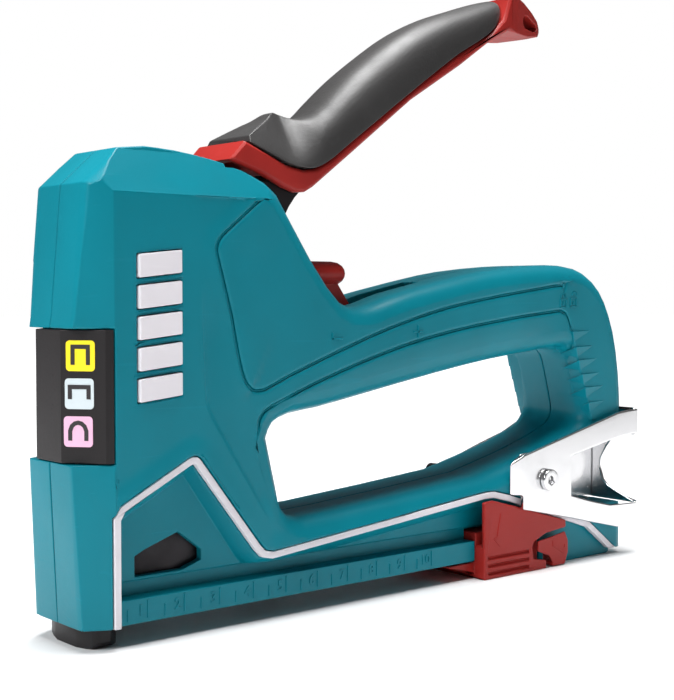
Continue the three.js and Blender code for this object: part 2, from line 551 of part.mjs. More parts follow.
// The far cheek is lower at the front than the near one.
strap = strap.subtract(alongY([[120, 28.2], [131.8, 28.4], [141.8, 30.9], [150, 33.4], [160, 36.1],
  [168, 39.4], [174, 43.2], [174, 60], [120, 60]], 14, 30));
piece('remover_strap', strap.subtract(rodY(...REMOVER_BOLT, 2.3, -30, 30)), CHROME, 0.12, 1);
piece('remover_blade', alongY([[146, 18], [146, 34], [153, 34], [153, 32], [177, 36], [182.4, 36.4],
  [182.4, 16], [172, 16.3], [161.8, 18.5], [153, 21], [153, 18]], -0.6, 0.6), CHROME, 0.2, 1);
const hex = [0, 1, 2, 3, 4, 5].map((i) => {
  const a = (i * Math.PI) / 3;
  return [REMOVER_BOLT[0] + 3.4 * Math.cos(a), REMOVER_BOLT[1] + 3.4 * Math.sin(a)];
});
piece('remover_bolt', rodY(...REMOVER_BOLT, 3.1, -19.2, -CHEEK_OUT - 0.1).add(rodY(...REMOVER_BOLT, 2, -18, 19.2))
  .subtract(rodY(...REMOVER_BOLT, 1.3, -20, -17.8, 6)), CHROME, 0.15, 1);
piece('remover_nut', alongY(hex, CHEEK_OUT + 0.1, 19).subtract(rodY(...REMOVER_BOLT, 2.3, 10, 30)), CHROME, 0.2, 1);

group.position.x = -MIDDLE_X;

export default group;
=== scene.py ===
"""Lever-operated hand tacker with a teal two-piece housing, a squeeze lever with a soft grip, a red
staple slider and a chromed staple remover at the heel. Sizes in the tables are millimetres measured
from the staple exit face, the seam and the surface the tool stands on."""

import json
import math

import bmesh
import bpy
import numpy as np
from mathutils import Euler, Matrix, Vector
from mathutils.geometry import delaunay_2d_cdt


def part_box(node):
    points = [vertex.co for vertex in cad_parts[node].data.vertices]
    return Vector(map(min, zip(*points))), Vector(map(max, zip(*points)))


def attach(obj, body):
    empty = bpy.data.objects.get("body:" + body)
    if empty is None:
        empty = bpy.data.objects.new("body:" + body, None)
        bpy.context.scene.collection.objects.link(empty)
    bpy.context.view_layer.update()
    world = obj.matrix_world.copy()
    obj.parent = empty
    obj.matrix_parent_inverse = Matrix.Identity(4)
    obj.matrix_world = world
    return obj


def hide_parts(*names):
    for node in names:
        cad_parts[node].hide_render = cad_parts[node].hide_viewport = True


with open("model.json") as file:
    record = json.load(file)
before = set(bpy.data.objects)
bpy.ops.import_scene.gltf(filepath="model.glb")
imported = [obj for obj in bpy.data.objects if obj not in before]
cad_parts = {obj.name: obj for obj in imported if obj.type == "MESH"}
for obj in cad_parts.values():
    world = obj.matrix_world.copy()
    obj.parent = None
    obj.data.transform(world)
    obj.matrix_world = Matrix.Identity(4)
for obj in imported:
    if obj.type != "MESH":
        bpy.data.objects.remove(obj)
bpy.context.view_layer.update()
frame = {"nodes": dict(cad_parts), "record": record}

MM = 0.001
EXIT_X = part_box("nose_label_band")[0].x + 7.7 * MM
SKIN = 14.5


def placed(points):
    """Millimetre points from the staple exit, as metres in the shared frame."""
    return np.asarray(points, float) * MM + np.array([EXIT_X, 0.0, 0.0])


# ---- shader building --------------------------------------------------------------------------
class Amount:
    """A number that changes over a surface. Arithmetic on it adds Math nodes to its tree."""

    def __init__(self, finish, socket):
        self.finish = finish
        self.socket = socket

    def _math(self, operation, *values):
        return self.finish.node("ShaderNodeMath", {"operation": operation}, dict(enumerate(values)))

    def __add__(self, other):
        return self._math("ADD", self, other)

    def __radd__(self, other):
        return self._math("ADD", other, self)

    def __sub__(self, other):
        return self._math("SUBTRACT", self, other)

    def __rsub__(self, other):
        return self._math("SUBTRACT", other, self)

    def __mul__(self, other):
        return self._math("MULTIPLY", self, other)

    def __rmul__(self, other):
        return self._math("MULTIPLY", other, self)

    def __truediv__(self, other):
        return self._math("DIVIDE", self, other)

    def __rtruediv__(self, other):
        return self._math("DIVIDE", other, self)

    def __pow__(self, other):
        return self._math("POWER", self, other)

    def __abs__(self):
        return self._math("ABSOLUTE", self)

    def rise(self, low, high):
        """0 below low, 1 above high, and a smooth step between."""
        settings = {"interpolation_type": "SMOOTHSTEP"}
        return self.finish.node("ShaderNodeMapRange", settings, {"Value": self, 1: low, 2: high})


class Finish:
    """One material, with the nodes that give its colour, roughness and fine relief."""

    def __init__(self, name, colour, metallic=0.0, coat=0.0, coat_roughness=0.1, sheen=0.5):
        self.material = bpy.data.materials.new(name)
        self.material.use_nodes = True
        self.tree = self.material.node_tree
        self.shader = self.tree.nodes["Principled BSDF"]
        self.colour = (*colour, 1.0)
        self.shader.inputs["Base Color"].default_value = self.colour
        self.shader.inputs["Metallic"].default_value = metallic
        self.shader.inputs["Coat Weight"].default_value = coat
        self.shader.inputs["Coat Roughness"].default_value = coat_roughness
        self.shader.inputs["Specular IOR Level"].default_value = sheen
        self.place = self.node("ShaderNodeTexCoord", {}, {}, "Object").socket

    def node(self, kind, settings, values, output=0):
        """Adds a node: first its settings, then the values or links of its sockets."""
        made = self.tree.nodes.new(kind)
        for key, value in settings.items():
            setattr(made, key, value)
        for key, value in values.items():
            socket = made.inputs[key]
            link = value.socket if isinstance(value, Amount) else value
            if isinstance(link, bpy.types.NodeSocket):
                self.tree.links.new(link, socket)
            else:
                socket.default_value = link
        return Amount(self, made.outputs[output])

    def noise(self, scale, detail=2.0, roughness=0.5, stretch=(1.0, 1.0, 1.0)):
        """Cloudy noise on Object coordinates, with its centre at one half."""
        turned = self.node("ShaderNodeMapping", {}, {"Vector": self.place, "Scale": stretch})
        values = {"Vector": turned, "Scale": scale, "Detail": detail, "Roughness": roughness}
        return self.node("ShaderNodeTexNoise", {"noise_dimensions": "3D"}, values)

    def blend(self, factor, first, second):
        """A colour between two others."""
        settings = {"data_type": "RGBA"}
        return self.node("ShaderNodeMix", settings, {0: factor, 6: first, 7: second}, 2)

    def feed(self, name, value):
        self.tree.links.new(value.socket, self.shader.inputs[name])

    def relief(self, height, distance, strength=1.0):
        values = {"Height": height, "Distance": distance, "Strength": strength}
        self.feed("Normal", self.node("ShaderNodeBump", {}, values))


def moulded(name, colour, roughness, grain=0.35, coat=0.0, shade=0.82):
    """Injection-moulded plastic: fine spark-eroded grain, faint flow marks, rubbed shiny patches
    and hairline handling scratches."""
    finish = Finish(name, colour, 0.0, coat, 0.25, 0.2)
    flow = finish.noise(22.0, 3.0, 0.55, (1.0, 1.0, 0.45))
    speck = finish.noise(1500.0, 2.0, 0.6)
    rubbed = finish.noise(60.0, 4.0, 0.6).rise(0.52, 0.74)
    scratch = finish.noise(260.0, 2.0, 0.5, (0.12, 1.0, 2.4)).rise(0.66, 0.72)
    dark = tuple(c * shade for c in colour) + (1.0,)
    pale = tuple(min(1.0, c * 1.08 + 0.004) for c in colour) + (1.0,)
    tone = finish.blend(flow.rise(0.3, 0.7), dark, finish.colour)
    finish.feed("Base Color", finish.blend(scratch * 0.25 + rubbed * 0.15, tone, pale))
    finish.feed("Roughness", roughness + (speck - 0.5) * 0.14 - rubbed * 0.07 + scratch * 0.06)
    finish.relief(speck * grain - scratch * 0.3 + flow * 0.4, 0.00006, 0.5)
    return finish


def rubbery(name, colour, roughness):
    """Soft over-moulded grip: matt, finely pebbled, a little greyer where hands polish it."""
    finish = Finish(name, colour, 0.0, 0.0, 0.1, 0.4)
    pebble = finish.noise(1100.0, 3.0, 0.65)
    worn = finish.noise(30.0, 3.0, 0.6).rise(0.45, 0.7)
    grey = tuple(c + 0.02 for c in colour) + (1.0,)
    dust = finish.noise(420.0, 2.0, 0.5).rise(0.6, 0.78)
    finish.feed("Base Color", finish.blend(worn * 0.7 + dust * 0.2, finish.colour, grey))
    finish.feed("Roughness", roughness + (pebble - 0.5) * 0.2 - worn * 0.08)
    finish.relief(pebble, 0.0001, 0.6)
    return finish


def metal(name, colour, roughness, brush, tarnish):
    """Pressed sheet or turned steel: drawn lines along the part, smudges and darker tarnish."""
    finish = Finish(name, colour, 1.0)
    lines = finish.noise(900.0, 3.0, 0.6, (0.06, 1.0, 1.0))
    smudge = finish.noise(70.0, 4.0, 0.6)
    dull = tuple(c * (1.0 - tarnish) for c in colour) + (1.0,)
    pits = finish.noise(700.0, 2.0, 0.5).rise(0.68, 0.76)
    finish.feed("Base Color", finish.blend(smudge.rise(0.45, 0.7) * 0.8 + pits * 0.2, finish.colour, dull))
    finish.feed("Roughness", roughness + (lines - 0.5) * brush + smudge.rise(0.5, 0.75) * 0.1)
    finish.relief(lines * 0.6 + pits * -0.4, 0.00003, 0.4)
    return finish


def printed(name, colour, roughness=0.4):
    """Printed or painted label colour with faint ink mottling and rubbed spots."""
    finish = Finish(name, colour, 0.0)
    ink = finish.noise(800.0, 2.0, 0.6)
    rub = finish.noise(150.0, 3.0, 0.6).rise(0.62, 0.75)
    pale = tuple(c * 0.9 + 0.04 for c in colour) + (1.0,)
    finish.feed("Base Color", finish.blend(rub * 0.5 + ink * 0.1, finish.colour, pale))
    finish.feed("Roughness", roughness + (ink - 0.5) * 0.12 + rub * 0.1)
    finish.relief(ink, 0.00002, 0.4)
    return finish


TEAL = moulded("teal_housing", (0.0, 0.2, 0.262), 0.4)
RED = moulded("red_moulding", (0.34, 0.02, 0.016), 0.38)
WHITE = moulded("white_moulding", (0.76, 0.73, 0.77), 0.42, 0.2, 0.0, 0.93)
BLACK = moulded("black_moulding", (0.02, 0.018, 0.019), 0.4, 0.25)
GRIP = rubbery("soft_grip_rubber", (0.028, 0.027, 0.027), 0.46)
STEEL = metal("bright_steel", (0.62, 0.62, 0.63), 0.28, 0.16, 0.25)
DARK_STEEL = metal("blackened_steel", (0.03, 0.028, 0.03), 0.42, 0.18, 0.4)
CHROME = metal("chromed_steel", (0.72, 0.72, 0.73), 0.2, 0.08, 0.08)
YELLOW = printed("label_yellow", (0.93, 0.73, 0.006))
PALE = printed("label_pale_blue", (0.58, 0.66, 0.69))
PINK = printed("label_pink", (0.79, 0.45, 0.63))
INK = printed("label_ink", (0.018, 0.014, 0.016))
MARKS = printed("label_white_marks", (0.8, 0.8, 0.82))
FINISHES = {
    "teal_plastic": TEAL, "red_plastic": RED, "black_plastic": BLACK, "soft_grip": GRIP,
    "white_plastic": WHITE, "steel": STEEL, "dark_steel": DARK_STEEL, "chrome": CHROME,
}
BODY_OF = {node: body for body, nodes in frame["record"]["behaviour"]["bodies"].items() for node in nodes}


# ---- mesh helpers -----------------------------------------------------------------------------
def add_piece(name, points, faces, finish, body, slot, smooth=True):
    """A mesh of the given millimetre corners and faces, riding on a body."""
    mesh = bpy.data.meshes.new(name)
    mesh.from_pydata(placed(points), [], [tuple(f) for f in faces])
    mesh.polygons.foreach_set("use_smooth", np.full(len(mesh.polygons), smooth))
    return finish_piece(name, mesh, finish, body)


def finish_piece(name, mesh, finish, body):
    mesh.materials.clear()
    mesh.materials.append(finish.material)
    piece = bpy.data.objects.new(name, mesh)
    bpy.context.scene.collection.objects.link(piece)
    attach(piece, body)
    return piece


def soften(piece, width, crease=32.0, segments=2):
    """Rounds every edge sharper than the crease angle, then lets flat faces keep flat shading."""
    bevel = piece.modifiers.new("edges", "BEVEL")
    bevel.width = width * MM
    bevel.segments = segments
    bevel.limit_method = "ANGLE"
    bevel.angle_limit = math.radians(crease)
    bevel.use_clamp_overlap = False
    shading = piece.modifiers.new("shading", "WEIGHTED_NORMAL")
    shading.keep_sharp = True
    shading.weight = 60


def merged_copy(node):
    """The loose triangles of a CAD solid with shared corners joined."""
    work = bmesh.new()
    work.from_mesh(frame["nodes"][node].data)
    bmesh.ops.remove_doubles(work, verts=work.verts, dist=2e-6)
    return work


def as_mesh(work, name):
    mesh = bpy.data.meshes.new(name)
    work.to_mesh(mesh)
    work.free()
    mesh.polygons.foreach_set("use_smooth", np.full(len(mesh.polygons), True))
    return mesh


def rounded(node, slot, width=0.25, crease=32.0, segments=2):
    """A merged copy of a CAD node with rounded edges, in place of that node."""
    finish = FINISHES[slot]
    mesh = as_mesh(merged_copy(node), node + "_finished")
    piece = finish_piece(node + "_finished", mesh, finish, BODY_OF[node])
    soften(piece, width, crease, segments)
    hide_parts(node)
    return piece


def spline(points, count, closed=False):
    """Points on a Catmull-Rom curve through the given ones, evenly spaced in its parameter."""
    p = np.asarray(points, float)
    if closed:
        p = np.vstack([p[-1], p, p[0], p[1]])
    else:
        p = np.vstack([2 * p[0] - p[1], p, 2 * p[-1] - p[-2]])
    t = np.linspace(0, len(p) - 3, count, endpoint=not closed)
    i = np.minimum(t.astype(int), len(p) - 4)
    u = (t - i)[:, None]
    a, b, c, d = p[i], p[i + 1], p[i + 2], p[i + 3]
    return 0.5 * (2 * b + (c - a) * u + (2 * a - 5 * b + 4 * c - d) * u**2 + (3 * b - a - 3 * c + d) * u**3)


def evened(line, step):
    """The same line with points one step apart along its length."""
    line = np.asarray(line, float)
    run = np.concatenate([[0], np.cumsum(np.hypot(*np.diff(line, axis=0).T))])
    s = np.linspace(0, run[-1], max(2, int(round(run[-1] / step)) + 1))
    return np.stack([np.interp(s, run, line[:, k]) for k in range(line.shape[1])], 1)


def offset_rows(line, distances):
    """Copies of a line moved sideways by each distance, along its left-hand normals."""
    along = np.gradient(line, axis=0)
    along /= np.linalg.norm(along, axis=1)[:, None]
    normal = np.stack([-along[:, 1], along[:, 0]], 1)
    return np.concatenate([line + normal * d for d in distances])


def side_distance(points, line):
    """Distance from each point to the nearest stretch of a line, its sign positive on the line's
    left, and the share of the line's length at the foot of that perpendicular."""
    a, b = line[:-1], line[1:]
    ab = b - a
    ap = points[:, None, :] - a[None]
    t = np.clip((ap * ab).sum(2) / (ab**2).sum(1), 0, 1)
    gap = ap - t[..., None] * ab
    d = np.hypot(gap[..., 0], gap[..., 1])
    k = d.argmin(1)
    row = np.arange(len(points))
    left = ab[k, 0] * ap[row, k, 1] - ab[k, 1] * ap[row, k, 0]
    return d[row, k] * np.where(left >= 0, 1, -1), (k + t[row, k]) / len(a)


def inside(points, edges):
    """True where a point is inside the closed loops made of these edges, by crossings to its right."""
    a, b = edges[:, 0], edges[:, 1]
    x, z = points[:, 0:1], points[:, 1:2]
    spans = (a[:, 1] > z) != (b[:, 1] > z)
    rise = np.where(a[:, 1] == b[:, 1], 1.0, b[:, 1] - a[:, 1])
    at = a[:, 0] + (z - a[:, 1]) / rise * (b[:, 0] - a[:, 0])
    return ((spans & (at > x)).sum(1) % 2) == 1


def smooth_step(v, low, high):
    t = np.clip((v - low) / (high - low), 0, 1)
    return t * t * (3 - 2 * t)


# ---- housing skin -----------------------------------------------------------------------------
GRIP_GROOVE = evened(np.vstack([
    [[42.8, 103.7], [29.9, 93.4]],
    spline([[28.9, 92.2], [28.3, 90.4], [28.6, 88.6]], 6),
    spline([[32.6, 74.8], [34.9, 63.9], [36.7, 58.8], [39.3, 56.7], [42.5, 56.7]], 24),
    spline([[50.3, 59.9], [66.7, 65.6], [84.1, 71.1], [102.8, 75.7], [122.7, 78.9], [148.2, 82.1]], 60),
    [[151.5, 82.3]]]), 0.6)
GRIP_CREASE = evened([[152.6, 81.4], [153.6, 84], [151.6, 87.2]], 0.6)
OPENING_GROOVE = evened(np.vstack([
    spline([[155.7, 69.6], [153.6, 73.6], [150.9, 74.9]], 14),
    spline([[133.5, 73.3], [112.8, 70.7], [93.3, 67.3], [75.3, 62.8], [58.3, 57.6], [44.6, 52.6]], 60),
    spline([[42.2, 51.3], [40.9, 49.4], [40.7, 47.2]], 6),
    spline([[44.7, 28.8], [47.1, 24.1], [50.2, 21.5], [54.9, 21.2]], 20),
    spline([[84.2, 23.4], [117.8, 27.7], [130, 30.2]], 30)]), 0.6)
SIDE_CREASE = evened([
    [23.6, 84], [23.9, 80.7], [24.9, 57], [25.2, 54.4], [26.3, 51.5], [31.9, 42.7], [37.8, 33.6],
    [42.2, 26.6], [43.6, 23.6]], 0.7)
STRIPE_EDGE = evened([
    [0.3, 26], [0.3, 29.9], [2, 32.6], [20.2, 42], [22.2, 42.5], [23.8, 41.6], [41.2, 19.3], [42.6, 17.9],
    [44.8, 17.4], [119.1, 24.5]], 0.8)
OPENING = evened(np.vstack([
    spline([[48.2, 31.5], [49.3, 27.6], [52, 24.9], [56, 24]], 10), [[68.3, 24.6], [95, 26.6]],
    spline([[119.7, 28.7], [137, 32.6], [150, 36.2], [158, 39], [162, 41.3], [163.4, 44.6], [161.5, 52],
            [159.2, 59.5], [157, 62.6], [153, 64], [141, 62.8], [125.6, 61.2], [105, 58.2], [77, 53.5],
            [62, 51], [52, 49.9], [46.8, 47.8], [45, 44.6]], 80), [[48.2, 31.5]]]), 1.2)
ROUND_DEEP = 5.6
ROUND_FROM = SKIN - ROUND_DEEP


def opening_slope(points):
    """How far the skin curves in between the groove round the opening and the opening's edge: a
    quarter ellipse whose width is the room between the two, and nothing outside the groove or near
    the sharp rear corner."""
    groove, _ = side_distance(points, OPENING_GROOVE)
    edge, _ = side_distance(points, OPENING)
    share = np.abs(groove) / (np.abs(groove) + np.abs(edge) + 1e-6)
    curve = ROUND_DEEP * (1 - np.sqrt(np.maximum(0.0, 1 - share**2)))
    within = (groove > 0) & (points[:, 1] > 20) & (points[:, 0] < 156) & (points[:, 0] > 40)
    tail = smooth_step(-points[:, 0], -153.0, -140.0)
    lower = smooth_step(-points[:, 0], -118.0, -104.0)
    keep = np.where(points[:, 1] > 45, tail, lower)
    return np.where(within, curve * keep, 0.0)


def skin_height(points):
    """How far the side skin stands out, in millimetres: each groove is a bell-shaped trough, the
    creases are low smooth steps that fade away, and a band rises towards the white strip."""
    grip, s = side_distance(points, GRIP_GROOVE)
    height = -0.62 * np.exp(-((grip / 0.42) ** 2))
    height += 0.35 * smooth_step(grip, -4.5, 0.3) * smooth_step(-grip, -14, -1) * (s < 0.32)
    crease, _ = side_distance(points, GRIP_CREASE)
    height -= 0.4 * np.exp(-((crease / 0.45) ** 2))
    opening, _ = side_distance(points, OPENING_GROOVE)
    height -= 0.65 * np.exp(-((opening / 0.42) ** 2))
    side, t = side_distance(points, SIDE_CREASE)
    fade = smooth_step(t, 0.0, 0.25) * smooth_step(1 - t, 0.0, 0.12)
    height -= 0.55 * fade * smooth_step(side, -0.05, 0.75) * smooth_step(-side, -13, -1.5)
    stripe, _ = side_distance(points, STRIPE_EDGE)
    height += 0.55 * smooth_step(-stripe, -5.0, 0.0) * (stripe > -0.5)
    return height


def skin_points(edges):
    """Extra corners for the side skin: an even grid, with finer rows along each groove."""
    lo, hi = edges.min((0, 1)), edges.max((0, 1))
    xs, zs = np.arange(lo[0] + 0.4, hi[0], 0.9), np.arange(lo[1] + 0.4, hi[1], 0.9)
    grid = np.stack(np.meshgrid(xs, zs), -1).reshape(-1, 2)
    rows = []
    for line, sides in (
            (GRIP_GROOVE, (-1.2, -0.75, -0.45, -0.2, 0, 0.2, 0.45, 0.75, 1.2)),
            (OPENING_GROOVE, (-1.2, -0.75, -0.45, -0.2, 0, 0.2, 0.45, 0.75, 1.2)),
            (GRIP_CREASE, (-0.8, -0.35, 0, 0.35, 0.8)),
            (SIDE_CREASE, (-0.8, -0.1, 0.3, 0.8, 1.5))):
        away, _ = side_distance(grid, line)
        grid = grid[np.abs(away) > 1.5]
        rows.append(offset_rows(line, sides))
    points = np.concatenate([grid, *rows])
    points = points[inside(points, edges)]
    near = np.full(len(points), 9.0)
    for k in range(0, len(edges), 40):
        a, b = edges[k:k + 40, 0], edges[k:k + 40, 1]
        ab = b - a
        ap = points[:, None] - a
        t = np.clip((ap * ab).sum(2) / np.maximum((ab**2).sum(1), 1e-9), 0, 1)
        near = np.minimum(near, np.linalg.norm(ap - t[..., None] * ab, axis=2).min(1))
    return points[near > 0.16]


def corners_of(mesh):
    """The corner positions and triangles of a mesh as arrays."""
    co = np.zeros(len(mesh.vertices) * 3)
    mesh.vertices.foreach_get("co", co)
    tri = np.zeros(len(mesh.loops), int)
    mesh.loops.foreach_get("vertex_index", tri)
    return co.reshape(-1, 3), tri.reshape(-1, 3)


def sculpt_side(node, sign):
    """A housing half as arrays, its flat side swapped for a fine triangle sheet that is lifted to
    skin_height, and the rounding round the opening lowered by opening_slope."""
    work = merged_copy(node)
    bmesh.ops.triangulate(work, faces=work.faces)
    co, tri = corners_of(as_mesh(work, node + "_plain"))
    level = sign * SKIN * MM
    flat = (np.abs(co[tri][:, :, 1] - level) < 2e-6).all(1)
    kept, side = tri[~flat], tri[flat]
    pairs = np.sort(np.concatenate([side[:, [0, 1]], side[:, [1, 2]], side[:, [2, 0]]]), axis=1)
    pairs, times = np.unique(pairs, axis=0, return_counts=True)
    rim, pairs = np.unique(pairs[times == 1], return_inverse=True)
    pairs = pairs.reshape(-1, 2)
    flat_rim = (co[rim][:, [0, 2]] - [EXIT_X, 0]) / MM
    edges = flat_rim[pairs]
    every = np.vstack([flat_rim, skin_points(edges)])
    points, _, faces, origin, _, _ = delaunay_2d_cdt(
        [Vector(p) for p in every], [tuple(map(int, p)) for p in pairs], [], 0, 1e-5)
    points = np.array([tuple(p) for p in points])
    faces = np.array([f for f in faces if len(f) == 3])
    a, b, c = (points[faces[:, k]] for k in range(3))
    turn = (b[:, 0] - a[:, 0]) * (c[:, 1] - a[:, 1]) - (b[:, 1] - a[:, 1]) * (c[:, 0] - a[:, 0])
    good = (np.abs(turn) > 1e-7) & inside(points[faces].mean(1), edges)
    faces, turn = faces[good], turn[good]
    faces = np.where((turn * sign > 0)[:, None], faces[:, ::-1], faces)
    source = np.array([min(o, default=-1) for o in origin])
    on_rim = (source >= 0) & (source < len(rim))
    index = np.where(on_rim, rim[np.minimum(source, len(rim) - 1)], len(co) + np.cumsum(~on_rim) - 1)
    height = level + sign * skin_height(points) * MM
    lifted = placed(np.stack([points[:, 0], points[:, 0] * 0, points[:, 1]], 1))
    lifted[:, 1] = height
    co[index[on_rim], 1] = height[on_rim]
    co = np.vstack([co, lifted[~on_rim]])
    x, z, out = (co[:, 0] - EXIT_X) / MM, co[:, 2] / MM, co[:, 1] * sign / MM
    near = (out > ROUND_FROM) & (out < SKIN + 1) & (x > 38) & (x < 160)
    limit = SKIN - opening_slope(np.stack([x, z], 1)[near])
    out[near] = np.where(limit < SKIN - 0.01, np.minimum(out[near], limit), out[near])
    co[:, 1] = sign * out * MM
    used, tri = np.unique(np.vstack([kept, index[faces]]), return_inverse=True)
    return co[used], tri.reshape(-1, 3)


for side, sign in (("left", -1), ("right", 1)):
    node = "housing_" + side
    corners, triangles = sculpt_side(node, sign)
    mesh = bpy.data.meshes.new(node + "_shell")
    mesh.from_pydata(corners, [], triangles.tolist())
    mesh.polygons.foreach_set("use_smooth", np.full(len(mesh.polygons), True))
    piece = finish_piece(node + "_shell", mesh, TEAL, "housing")
    soften(piece, 0.3, 34.0)
    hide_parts(node)


# ---- housing details --------------------------------------------------------------------------
for side in ("left", "right"):
    rounded("edge_trim_" + side, "white_plastic", 0.2)
    rounded("badge_" + side, "white_plastic", 0.35)
rounded("nose_label_band", "black_plastic", 0.15)
rounded("nose_foot", "black_plastic", 0.4)
for k in range(5):
    rounded(f"housing_screw_{k + 1}", "dark_steel", 0.15)

RIBS = [
    [156.8, 66.3, 164.2, 69.0], [157.3, 61.7, 165.2, 64.4], [158.8, 57.5, 167.6, 60.5],
    [160.6, 53.8, 168.6, 56.2], [162.1, 49.2, 170.6, 52.2], [164.5, 45.1, 171.1, 47.6],
]


def grip_rib(x0, z0, x1, z1, sign):
    """A thin fin across the inner corner of the heel: two tips, a proud crest between them, and an
    underside that falls away to the tips. The fins on the right are shorter and lower."""
    cx = 155.9 + (69.1 - z1 + 0.6) * (164.5 - 155.9) / (69.1 - 44.6)
    left = sign < 0
    tip = [x0, 8.2, z0] if left else [x0 + 3.4, 11.0, z0 + 0.6]
    crest = [cx - 0.7, SKIN + 0.75, z1 - 0.3] if left else [cx + 0.4, SKIN + 0.2, z1 - 0.3]
    foot, back = [cx + 1.0, SKIN - 0.1, z1 - 3.6], [x1 + 0.4, SKIN + 0.1, z1]
    root = [cx + 4.5, 10.5, z1 - 1.4]
    points = np.array([tip, crest, back, foot, root], float)
    points[:, 1] *= sign
    faces = np.array([[0, 1, 4], [1, 2, 4], [0, 3, 1], [3, 2, 1], [0, 4, 3], [3, 4, 2]])
    return points, faces if sign < 0 else faces[:, ::-1]


def joined(parts):
    """Several sets of corners and faces as one."""
    points, faces, base = [], [], 0
    for p, f in parts:
        points.append(p)
        faces += [tuple(int(i) + base for i in face) for face in f]
        base += len(p)
    return np.concatenate(points), faces


def strip_faces(rows, cols):
    """Quads of a grid of rows by columns."""
    i, j = np.meshgrid(np.arange(rows - 1), np.arange(cols - 1), indexing="ij")
    k = (i * cols + j).ravel()
    return np.stack([k, k + cols, k + cols + 1, k + 1], 1)


CORNER_STEPS = 40


def corner_strip(sign):
    """The sharp inner corner of the heel: straight stretches from the opening's wall out to the
    corner line and on to the side face, carried along the corner."""
    wall = spline([[153.6, 64.2], [157.2, 62.2], [159.4, 59.4], [161.7, 52], [163.6, 44.6], [163.4, 42]],
                  CORNER_STEPS)
    corner = spline([[155.7, 69.8], [156.6, 67.1], [158.0, 63.1], [160.9, 54.9], [164.5, 44.6], [165.4, 42]],
                    CORNER_STEPS)
    section = [
        (wall, 8.8, 1.2), (wall, 8.8, 0.0), (corner, 13.9, 0.0), (corner, SKIN, 0.35),
        (corner, SKIN + 0.03, 5.2), (corner, SKIN - 1.5, 5.4)]
    rows = [np.stack([line[:, 0] + shift, np.full(CORNER_STEPS, sign * level), line[:, 1]], 1)
            for line, level, shift in section]
    faces = strip_faces(CORNER_STEPS, len(section))
    return np.stack(rows, 1).reshape(-1, 3), faces if sign > 0 else faces[:, ::-1]


for side, sign in (("left", -1), ("right", 1)):
    points, faces = corner_strip(sign)
    piece = add_piece("heel_corner_" + side, points, faces, TEAL, "housing", "teal_plastic")
    soften(piece, 0.25, 30.0)
    points, faces = joined([grip_rib(*rib, sign) for rib in RIBS])
    mesh = bpy.data.meshes.new("ribs_" + side)
    mesh.from_pydata(placed(points), [], faces)
    work = bmesh.new()
    work.from_mesh(mesh)
    bmesh.ops.recalc_face_normals(work, faces=work.faces)
    work.to_mesh(mesh)
    work.free()
    piece = finish_piece("finger_ribs_" + side, mesh, TEAL, "housing")
    soften(piece, 0.2, 20.0)


def raised_strips(strips, level, height, width):
    """Low bars along straight stretches in X and Z on a plane of constant Y: each is a box with its
    top edges drawn in, as corner arrays for all bars at once."""
    strips = np.asarray(strips, float)
    a, b = strips[:, :2], strips[:, 2:4]
    along = (b - a) / np.linalg.norm(b - a, axis=1)[:, None]
    across = np.stack([-along[:, 1], along[:, 0]], 1)
    rings = []
    for out, spread in ((-0.15, 1.0), (1.0, 0.72)):
        w = width / 2 * spread
        e = width / 2 * spread
        corners = [a - along * e - across * w, b + along * e - across * w,
                   b + along * e + across * w, a - along * e + across * w]
        y = level + math.copysign(height, level) * out
        rings += [np.stack([c[:, 0], np.full(len(c), y), c[:, 1]], 1) for c in corners]
    points = np.stack(rings, 1)
    quads = [[4, 5, 6, 7], [3, 2, 1, 0]] + [[k, (k + 1) % 4, (k + 1) % 4 + 4, k + 4] for k in range(4)]
    quads = np.array(quads)
    if level > 0:
        quads = quads[:, ::-1]
    faces = (quads[None] + 8 * np.arange(len(strips))[:, None, None]).reshape(-1, 4)
    return points.reshape(-1, 3), faces


def lettering(text, size, x, z, level, depth, mirrored=False):
    """A numeral made a mesh, stood upright on a side face and facing away from the seam."""
    curve = bpy.data.curves.new("numeral", "FONT")
    curve.body = text
    curve.size = size * MM
    curve.extrude = depth * MM
    curve.offset = 0.00006
    curve.align_x = "CENTER"
    curve.resolution_u = 3
    holder = bpy.data.objects.new("numeral", curve)
    bpy.context.scene.collection.objects.link(holder)
    bpy.context.view_layer.update()
    mesh = bpy.data.meshes.new_from_object(holder)
    bpy.data.objects.remove(holder)
    turn = Euler((math.pi / 2, 0, math.pi if mirrored else 0)).to_matrix().to_4x4()
    where = Vector(placed([x, level, z]))
    mesh.transform(Matrix.Translation(where) @ turn)
    return mesh


def join_meshes(name, meshes, finish, body):
    work = bmesh.new()
    for mesh in meshes:
        work.from_mesh(mesh)
    mesh = bpy.data.meshes.new(name)
    work.to_mesh(mesh)
    work.free()
    return finish_piece(name, mesh, finish, body)


